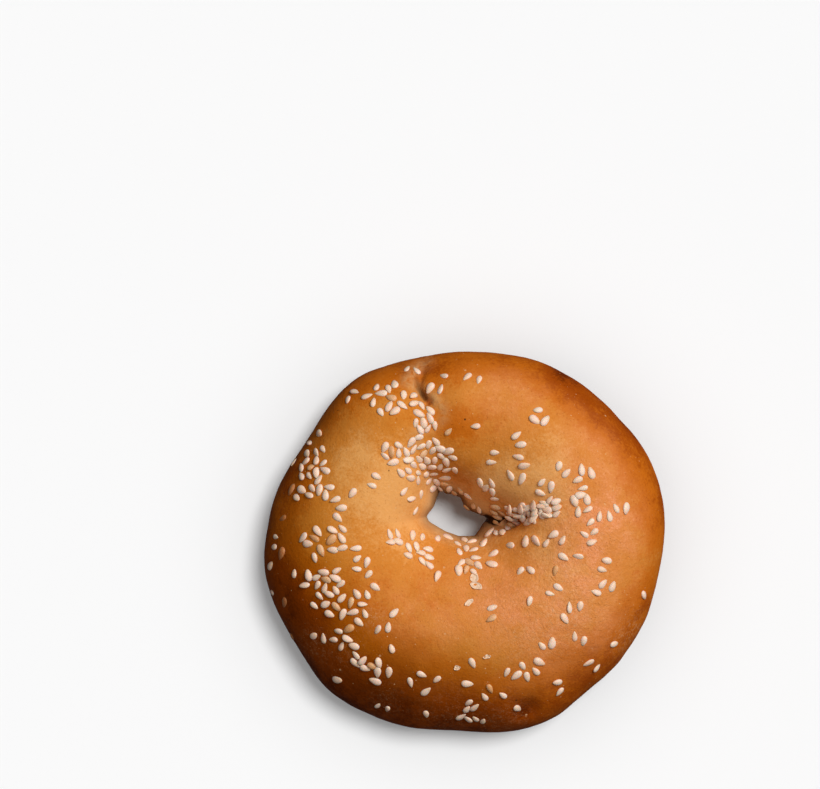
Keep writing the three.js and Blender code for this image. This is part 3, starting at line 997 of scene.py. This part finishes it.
# Seeds that lie singly.
SPRINKLED = (
    # the rim at the lapped seam
    Handful(-14.3, 47, 2.4, 0.4, -14, 2),
    Handful(-6, 46),
    Handful(1.8, 45.4, 2.6, 0.4, -20, 2),
    Handful(-31.8, 40.2, 1.4, 0.6, 30, 2),
    # strays on the golden side of the hole
    Handful(-25, 18.4, 3.6, 0.8, 60, 2),
    Handful(-30.8, 14),
    Handful(-14.4, 13.4, 2.8, 1.1, -10, 3),
    Handful(-13.8, 9),
    Handful(-35, 10, 3, 0.7, 100, 3),
    Handful(-40.2, 30),
    # the left side
    Handful(-34.6, 2.2, 1.8, 1.6, 0, 3),
    Handful(-34.2, -16, 7.8, 2.6, -4, 11, toasted=2),
    Handful(-28.2, -4.6, 4.8, 1.6, -60, 5),
    Handful(-25, -11.5),
    Handful(-28.4, -15.4, 1.6, 0.6, 90, 2),
    Handful(-29.4, -20.8),
    Handful(-23.6, -22.6, 2.2, 0.5, 0, 2),
    Handful(-33.2, -24, 1.8, 0.8, -60, 3, toasted=1),
    Handful(-40.2, -25.6, 1.6, 0.4, 0, 2),
    Handful(-33.4, -27.2, 4, 0.8, -5, 3),
    Handful(-19.8, -18.4),
    Handful(-20.4, -28),
    Handful(-53.2, -2, 5.6, 0.5, 82, 3),
    Handful(-53.4, -14),
    Handful(-47, -8),
    # the lower rim
    Handful(-35.5, -37.4),
    Handful(-25, -37.4),
    Handful(-23.2, -45, 1.6, 0.5, -40, 2),
    Handful(-10.9, -46.6),
    Handful(-13.2, -36.2, 2.4, 1, 20, 2),
    Handful(-8, -36.5),
    Handful(-11, -40),
    Handful(1.4, -31.8),
    Handful(0, -37.5),
    Handful(5.4, -40.4, 1.8, 0.5, 90, 2, toasted=1),
    Handful(10, -41),
    Handful(13.9, -45),
    Handful(16, -34, 4.6, 2.2, 12, 6),
    Handful(25, -39.2, 1.6, 0.4, 90, 2),
    Handful(22, -27.3, 1.6, 0.4, 110, 2),
    Handful(30.4, -24.8, 1.8, 0.4, 100, 2),
    Handful(34.7, -33, 2.4, 0.3, -30, 2),
    Handful(40.4, -27.4),
    Handful(48.6, -14.2),
    # the right side
    Handful(37.4, -5, 1.8, 0.4, 40, 2),
    Handful(36.4, -11.4, 3.2, 1.4, 20, 3),
    Handful(28.6, -3, 3, 0.4, 0, 2),
    Handful(23.2, -12, 1.8, 0.5, 40, 2),
    Handful(27.4, -17.4, 3.4, 2, 20, 3),
    Handful(17, -14.8),
    Handful(6.5, -18.6, 1.8, 0.2, 90, 2, toasted=1),
    Handful(33.2, 2.2, 3.6, 1.3, 10, 3),
    Handful(36.8, 7.6, 3.8, 1.3, 20, 3),
    Handful(42.4, 9.5, 2.4, 0.3, 0, 2),
    # the upper right lobe
    Handful(19.2, 34.4, 2.4, 1.6, 60, 3),
    Handful(2.4, 32.4),
    Handful(-5, 30.5, toasted=1),
    Handful(14, 28, 2, 0.5, 100, 2),
    Handful(7, 24.2, 2.2, 0.4, 70, 2),
    Handful(14.8, 22.2, 1.6, 0.7, 40, 2),
    Handful(13, 18.6, 2.6, 0.5, 0, 2),
    Handful(20.8, 15.8, 2.4, 1.2, 30, 3),
    Handful(26.4, 19.8, 2, 0.6, 120, 2),
    Handful(31.6, 18.9, 2.6, 1.4, 20, 3),
    Handful(31.8, 10, 1.8, 0.5, 30, 2),
    # below the hole
    Handful(-8, -8.5),
    Handful(-13, 2, 1.6, 0.3, 0, 2),
    Handful(-6.2, 1.6, 1.6, 0.3, 30, 2),
    Handful(4.8, 0),
    Handful(7, -4.2, 2.6, 0.3, 90, 2),
    Handful(11.8, -0.2),
    Handful(15.2, -7, 2.2, 0.3, 10, 2),
    Handful(24, -7, toasted=1),
    Handful(18.2, 0.7, 2.6, 0.6, -4, 3),
    Handful(24.4, 2.4, 1.9, 0.6, -30, 2),
)
# Seeds that slid into the fold and lie tipped against each other.
HEAPED = (
    Handful(15.3, 8.4, 4.6, 2.3, 8, 14),
    Handful(22.3, 10, 3.8, 2.1, 14, 9),
    Handful(8.7, 8.8, 1.4, 0.5, -24, 3, toasted=3),
    Handful(9.4, 6.1, 1.6, 0.5, -30, 3, toasted=3),
    Handful(12.8, 5, 2, 0.4, 10, 3, toasted=1),
    Handful(8, 2.6, 2.2, 0.4, 4, 3),
)
# Seeds on top of the heap.
PILED = (
    Handful(16.8, 8.9, 5.2, 1.4, 4, 11),
)
# Seeds caught on the hole's own wall.
CAUGHT = (
    Handful(-6.9, 15.4, 2.2, 0.3, -20, 3, toasted=1),
    Handful(-1.8, 13.8, 3.4, 0.3, -22, 4, toasted=2),
    Handful(1.5, 9.8, 2.8, 0.2, -20, 4, toasted=2),
)
# Seeds that the crust's glaze has closed over, low on the rim.
CLOSED_OVER = (
    Handful(-50.4, 7, glazed=1),
    Handful(-47, 14.6, glazed=1),
    Handful(-51, -2.3, glazed=1),
    Handful(-50, -16, glazed=1),
    Handful(-48, -26, glazed=1),
)


@dataclass(frozen=True)
class Sprinkling:
    """Handfuls whose seeds lie the same way.

    Attributes:
        handfuls: the handfuls.
        gap: the least distance between two seeds' centres, in mm.
        clear: the least distance to seeds that lie there already, in mm.
        tilt: the most that a seed tips out of the crust's plane, in radians.
        lift: how much higher than on the bare crust a seed lies, in mm.
    """

    handfuls: tuple[Handful, ...]
    gap: float
    clear: float
    tilt: float
    lift: float = 0

    def places(self, earlier: list[Vector], draw: SeededDraw, jitter: float, rounds: int) -> list[Vector]:
        """Scatters every handful, then moves its seeds apart until none lie too near another.

        Args:
            earlier: the places of the seeds that lie there already, which stay.
            draw: the stream of random numbers.
            jitter: how far a seed strays, in seed spacings.
            rounds: how many times all the seeds are gone through.

        Returns:
            The places in plan, in mm.
        """
        found = [place for handful in self.handfuls for place in handful.places(draw, jitter)]
        for _ in range(rounds):
            for i, first in enumerate(found):
                for second in earlier:
                    apart = (second - first).length
                    if apart < self.clear:
                        first -= (second - first) * ((self.clear - apart) / apart)
                for second in found[i + 1:]:
                    apart = (second - first).length
                    if apart < self.gap:
                        push = (second - first) * ((self.gap - apart) / (2 * apart))
                        first -= push
                        second += push
        return found

    def kinds(self) -> list[SeedKind]:
        """The seeds' kinds, in the order of their places."""
        return [kind for handful in self.handfuls for kind in handful.kinds()]


@dataclass(frozen=True)
class Seat:
    """Where a seed lies: its centre in mm, its turn, its size and its kind."""

    centre: Vector
    lying: Quaternion
    size: float
    kind: SeedKind


@dataclass
class SesameSeeds:
    """The seeds baked onto the crust, one piece for each kind."""

    length: float = 2.95
    width: float = 1.88
    thickness: float = 0.95
    pointedness: float = 0.36
    taper: float = 1.5
    tip_stretch: float = 0.07
    size_spread: float = 0.16
    sunk: float = 0.44
    end_tilt: float = 0.3
    steepest_tilt: float = 3
    glaze_swelling: float = 1.25
    fullness: float = 1.12
    plump_spread: float = 0.18
    slender_spread: float = 0.10
    bend_spread: float = 0.10
    jitter: float = 0.34
    settling_rounds: int = 8
    neighbour_reach: float = 4
    own_turn: float = 0.5
    sides: int = 10
    rings: int = 7
    layout_stream: int = 2027
    shape_stream: int = 411
    sprinklings: tuple[Sprinkling, ...] = (
        Sprinkling(THICK, gap=2.1, clear=0, tilt=0.16),
        Sprinkling(SPRINKLED, gap=2.8, clear=2.6, tilt=0.16),
        Sprinkling(HEAPED, gap=1.7, clear=2.2, tilt=0.3, lift=0.2),
        Sprinkling(PILED, gap=1.9, clear=0, tilt=0.4, lift=1.1),
        Sprinkling(CAUGHT, gap=1.8, clear=1.9, tilt=0.2),
        Sprinkling(CLOSED_OVER, gap=2.3, clear=2.6, tilt=0, lift=-0.25),
    )
    finishes: dict[SeedKind, SesameFinish] = field(default_factory=lambda: {
        SeedKind.PALE: SesameFinish(
            "sesame_pale", body=(0.87, 0.65, 0.51), shade=(0.82, 0.57, 0.42), tip=(0.73, 0.46, 0.28)
        ),
        SeedKind.TOASTED: SesameFinish(
            "sesame_toasted", body=(0.76, 0.48, 0.27), shade=(0.66, 0.33, 0.13), tip=(0.5, 0.2, 0.06)
        ),
        SeedKind.GLAZED: SesameFinish(
            "sesame_glazed", body=(0.56, 0.23, 0.08), shade=(0.48, 0.17, 0.05), tip=(0.4, 0.12, 0.03)
        ),
    })

    def tipping(self, draw: SeededDraw) -> float:
        """How far a seed tips, as a share of its group's tilt: mostly little, now and then a lot."""
        share = draw.signed()
        return share + self.steepest_tilt * share ** 5

    def seat(self, crust: BVHTree, place: Vector, nearest: Vector, group: Sprinkling, kind: SeedKind,
             draw: SeededDraw) -> Seat | None:
        """Lays one seed on the crust, beside its nearest neighbour rather than across it.

        Args:
            crust: the crust's surface, in metres.
            place: the place in plan, in mm.
            nearest: the way to its nearest neighbour in plan, in mm.
            group: the sprinkling that it belongs to.
            kind: the seed's kind.
            draw: the stream of random numbers.

        Returns:
            The seed's seat, or None where there is no crust.
        """
        point, normal = under_place(crust, *place)
        size = 1 + self.size_spread * draw.signed()
        turn = 2 * math.pi * draw()
        if nearest.length < self.neighbour_reach:
            beside = math.atan2(nearest.y, nearest.x) + math.pi / 2
            end_first = math.pi if turn > math.pi else 0
            turn = beside + self.own_turn * (turn % math.pi - math.pi / 2) + end_first
        rolled = group.tilt * self.tipping(draw)
        ended = self.end_tilt * group.tilt * self.tipping(draw)
        if point is None:
            return None
        cos, sin = math.cos(turn), math.sin(turn)
        up = (normal + Vector((ended * cos - rolled * sin, ended * sin + rolled * cos, 0))).normalized()
        lying = UP.rotation_difference(up) @ Quaternion(UP, turn)
        centre = point / MM + up * (self.thickness * size * (0.5 - self.sunk) + group.lift)
        return Seat(centre, lying, size * (self.glaze_swelling if kind is SeedKind.GLAZED else 1), kind)

    def seats(self, crust: BVHTree) -> list[Seat]:
        """Lays all the seeds on the crust.

        Args:
            crust: the crust's surface, in metres.

        Returns:
            The seats, in the order in which the seeds fell.
        """
        draw = SeededDraw(self.layout_stream)
        laid, lying = [], []
        for group in self.sprinklings:
            places = group.places(lying, draw, self.jitter, self.settling_rounds)
            lying += places
            for place, kind in zip(places, group.kinds()):
                ways = (other - place for other in lying if other is not place)
                nearest = min(ways, key=lambda way: way.length)
                seat = self.seat(crust, place, nearest, group, kind, draw)
                if seat:
                    laid.append(seat)
        return laid

    def add_seed(self, seeds: bmesh.types.BMesh, seat: Seat, draw: SeededDraw) -> None:
        """Models one seed in its seat: a plump teardrop with a pointed tip.

        Args:
            seeds: the bmesh that it joins.
            seat: where it lies.
            draw: the stream that makes each seed a little different.
        """
        layers = seeds.verts.layers.float
        made = bmesh.ops.create_uvsphere(
            seeds, u_segments=self.sides, v_segments=self.rings, radius=0.5,
            matrix=Matrix.Rotation(math.pi / 2, 4, "Y"),
        )
        shade = draw()
        plump = 1 + self.plump_spread * draw.signed()
        slender = 1 + self.slender_spread * draw.signed()
        bend = self.bend_spread * draw.signed()
        pointed = self.pointedness * (0.5 + draw())
        placing = Matrix.Translation(seat.centre * MM) @ seat.lying.to_matrix().to_4x4()
        for vert in made["verts"]:
            share = vert.co.x + 0.5
            slim = (1 - pointed * share ** self.taper) * slender
            vert[layers["tone"]] = shade
            vert[layers["along"]] = share
            shaped = Vector((
                (vert.co.x + self.tip_stretch * share ** 4) * self.length,
                (vert.co.y * slim * self.fullness + bend * (share - 0.5) ** 2) * self.width,
                vert.co.z * slim * self.fullness * plump * self.thickness,
            ))
            vert.co = placing @ (shaped * seat.size * MM)

    def build(self, crust: BVHTree) -> None:
        """Makes the seeds, one piece for each kind.

        Args:
            crust: the crust's surface, in metres.
        """
        laid = self.seats(crust)
        draw = SeededDraw(self.shape_stream)
        for kind in SeedKind:
            seeds = bmesh.new()
            seeds.verts.layers.float.new("tone")
            seeds.verts.layers.float.new("along")
            for seat in laid:
                if seat.kind is kind:
                    self.add_seed(seeds, seat, draw)
            piece = object_from(f"sesame_{kind.value}", seeds)
            dress_as_part(piece, self.finishes[kind].make())


@dataclass(frozen=True)
class Husk:
    """A hull that a seed has shed: its middle in plan and its size in mm, its turn in degrees."""

    x: float
    y: float
    length: float
    width: float
    turn: float


@dataclass
class Husks:
    """Thin crumpled hulls, baked onto the crust like little open cups."""

    husks: tuple[Husk, ...] = (
        Husk(2.1, -9.0, 2.8, 2.4, 80),
        Husk(2.6, -11.2, 3.6, 2.0, -20),
        Husk(0.6, -15.6, 2.8, 1.3, 40),
        Husk(-2.6, -33.2, 2.0, 1.2, 20),
        Husk(5.4, -30.2, 2.2, 1.0, 5),
    )
    height: float = 0.5
    wall: float = 0.1
    crumple: float = 0.35
    crumple_grain: float = 2.6
    crumple_stream: int = 7
    rim: float = 0.12
    seat: float = 0.45
    sides: int = 18
    rings: int = 12
    finish: SesameFinish = field(default_factory=lambda: SesameFinish(
        "sesame_husk", body=(0.80, 0.56, 0.38), shade=(0.70, 0.42, 0.23), tip=(0.76, 0.52, 0.34),
        roughness=0.5, translucency=0,
    ))

    def add_husk(self, cups: bmesh.types.BMesh, husk: Husk, crust: BVHTree) -> None:
        """Models one husk where it lies.

        Args:
            cups: the bmesh that it joins.
            husk: its size and place.
            crust: the crust's surface, in metres.
        """
        point, normal = under_place(crust, husk.x, husk.y)
        lying = UP.rotation_difference(normal) @ Quaternion(UP, math.radians(husk.turn))
        cup = bmesh.new()
        bmesh.ops.create_uvsphere(cup, u_segments=self.sides, v_segments=self.rings, radius=0.5)
        bmesh.ops.delete(cup, geom=[vert for vert in cup.verts if vert.co.z > self.rim], context="VERTS")
        own_place = Vector((husk.x, husk.y, 0))
        for vert in cup.verts:
            crumpling = noise.noise_vector(vert.co * self.crumple_grain + own_place) * self.crumple
            high = (vert.co.z + self.seat) * self.height
            shaped = Vector((vert.co.x * husk.length, vert.co.y * husk.width, high))
            vert.co = (point / MM + lying @ (shaped + crumpling)) * MM
        bmesh.ops.solidify(cup, geom=cup.faces[:], thickness=self.wall * MM)
        bmesh.ops.recalc_face_normals(cup, faces=cup.faces)
        made = bpy.data.meshes.new("husk")
        cup.to_mesh(made)
        cup.free()
        cups.from_mesh(made)
        bpy.data.meshes.remove(made)

    def build(self, crust: BVHTree) -> None:
        """Makes the husks as one piece.

        Args:
            crust: the crust's surface, in metres.
        """
        noise.seed_set(self.crumple_stream)
        cups = bmesh.new()
        for husk in self.husks:
            self.add_husk(cups, husk, crust)
        piece = object_from("sesame_husks", cups)
        dress_as_part(piece, self.finish.make())


# ---------------------------------------------------------------- the studio


@dataclass(frozen=True)
class Sun:
    """A soft distant light.

    Attributes:
        name: the light's name.
        strength: its strength in watts for each square metre.
        spread: how wide it looks, in degrees.
        azimuth: where it stands round the bagel, in degrees from +X.
        elevation: how high it stands, in degrees.
        lights_floor: whether it falls only on the floor, or else on all but the floor.
    """

    name: str
    strength: float
    spread: float
    azimuth: float
    elevation: float
    lights_floor: bool = False

    def build(self, floor: bpy.types.Object) -> None:
        """Hangs the light.

        Args:
            floor: the floor.
        """
        light = bpy.data.lights.new(self.name, "SUN")
        light.energy = self.strength
        light.angle = math.radians(self.spread)
        lamp = bpy.data.objects.new(self.name, light)
        a, e = math.radians(self.azimuth), math.radians(self.elevation)
        towards = Vector((math.cos(e) * math.cos(a), math.cos(e) * math.sin(a), math.sin(e)))
        lamp.rotation_euler = towards.to_track_quat("Z", "Y").to_euler()
        bpy.context.scene.collection.objects.link(lamp)
        receivers = bpy.data.collections.new(f"{self.name} and floor")
        receivers.objects.link(floor)
        linking = receivers.collection_objects[0].light_linking
        linking.link_state = "INCLUDE" if self.lights_floor else "EXCLUDE"
        lamp.light_linking.receiver_collection = receivers


@dataclass
class Studio:
    """The floor, the light and the camera, in metres."""

    floor_radius: float = 4.0
    floor_sides: int = 96
    suns: tuple[Sun, ...] = (
        Sun("key", 2.55, spread=28, azimuth=40, elevation=46),
        Sun("overhead", 1.0, spread=20, azimuth=40, elevation=77),
        Sun("floor light", 1.95, spread=18, azimuth=44, elevation=72, lights_floor=True),
        Sun("floor fill", 1.17, spread=110, azimuth=0, elevation=90, lights_floor=True),
    )
    sky_strength: float = 0.10
    picture_size: tuple[int, int] = (820, 789)
    picture_place: tuple[float, float] = (465.5, 541.5)
    pixels_for_mm: float = 3.6
    lens: float = 135
    sensor: float = 36
    focus_height: float = 0.016

    def build_floor(self) -> bpy.types.Object:
        """Lays the floor.

        Returns:
            The floor.
        """
        floor = bmesh.new()
        bmesh.ops.create_circle(
            floor, cap_ends=True, segments=self.floor_sides, radius=self.floor_radius
        )
        piece = object_from("floor", floor, smooth=False)
        piece.data.materials.append(FloorFinish().make())
        piece.visible_diffuse = False
        piece.visible_glossy = False
        return piece

    def build_light(self, floor: bpy.types.Object) -> None:
        """Hangs the lights and sets a pale even sky.

        Args:
            floor: the floor.
        """
        for sun in self.suns:
            sun.build(floor)
        world = bpy.data.worlds.new("studio")
        world.use_nodes = True
        sky = world.node_tree.nodes["Background"]
        sky.inputs["Color"].default_value = (1, 1, 1, 1)
        sky.inputs["Strength"].default_value = self.sky_strength
        bpy.context.scene.world = world
        bpy.context.scene.view_settings.view_transform = "Standard"

    def build_camera(self) -> None:
        """Hangs the camera straight over the middle of the picture, looking down, +Y up."""
        wide, high = self.picture_size
        aside = (wide / 2 - self.picture_place[0]) / self.pixels_for_mm * MM
        ahead = (self.picture_place[1] - high / 2) / self.pixels_for_mm * MM
        distance = self.lens / self.sensor * wide / self.pixels_for_mm * MM
        camera = bpy.data.cameras.new("camera")
        camera.lens = self.lens
        camera.sensor_width = self.sensor
        camera.clip_start = 0.05
        camera.clip_end = 20
        eye = bpy.data.objects.new("camera", camera)
        eye.location = (aside, ahead, distance + self.focus_height)
        bpy.context.scene.collection.objects.link(eye)
        bpy.context.scene.camera = eye

    def build(self) -> None:
        """Builds the floor, the light and the camera."""
        self.build_light(self.build_floor())
        self.build_camera()


def main() -> None:
    """Builds the bagel and its studio."""
    logging.basicConfig(level=logging.INFO, format="%(message)s")
    Studio().build()
    crust = Crust(DoughRing()).build()
    SesameSeeds().build(crust)
    Husks().build(crust)


if __name__ == "__main__":
    main()
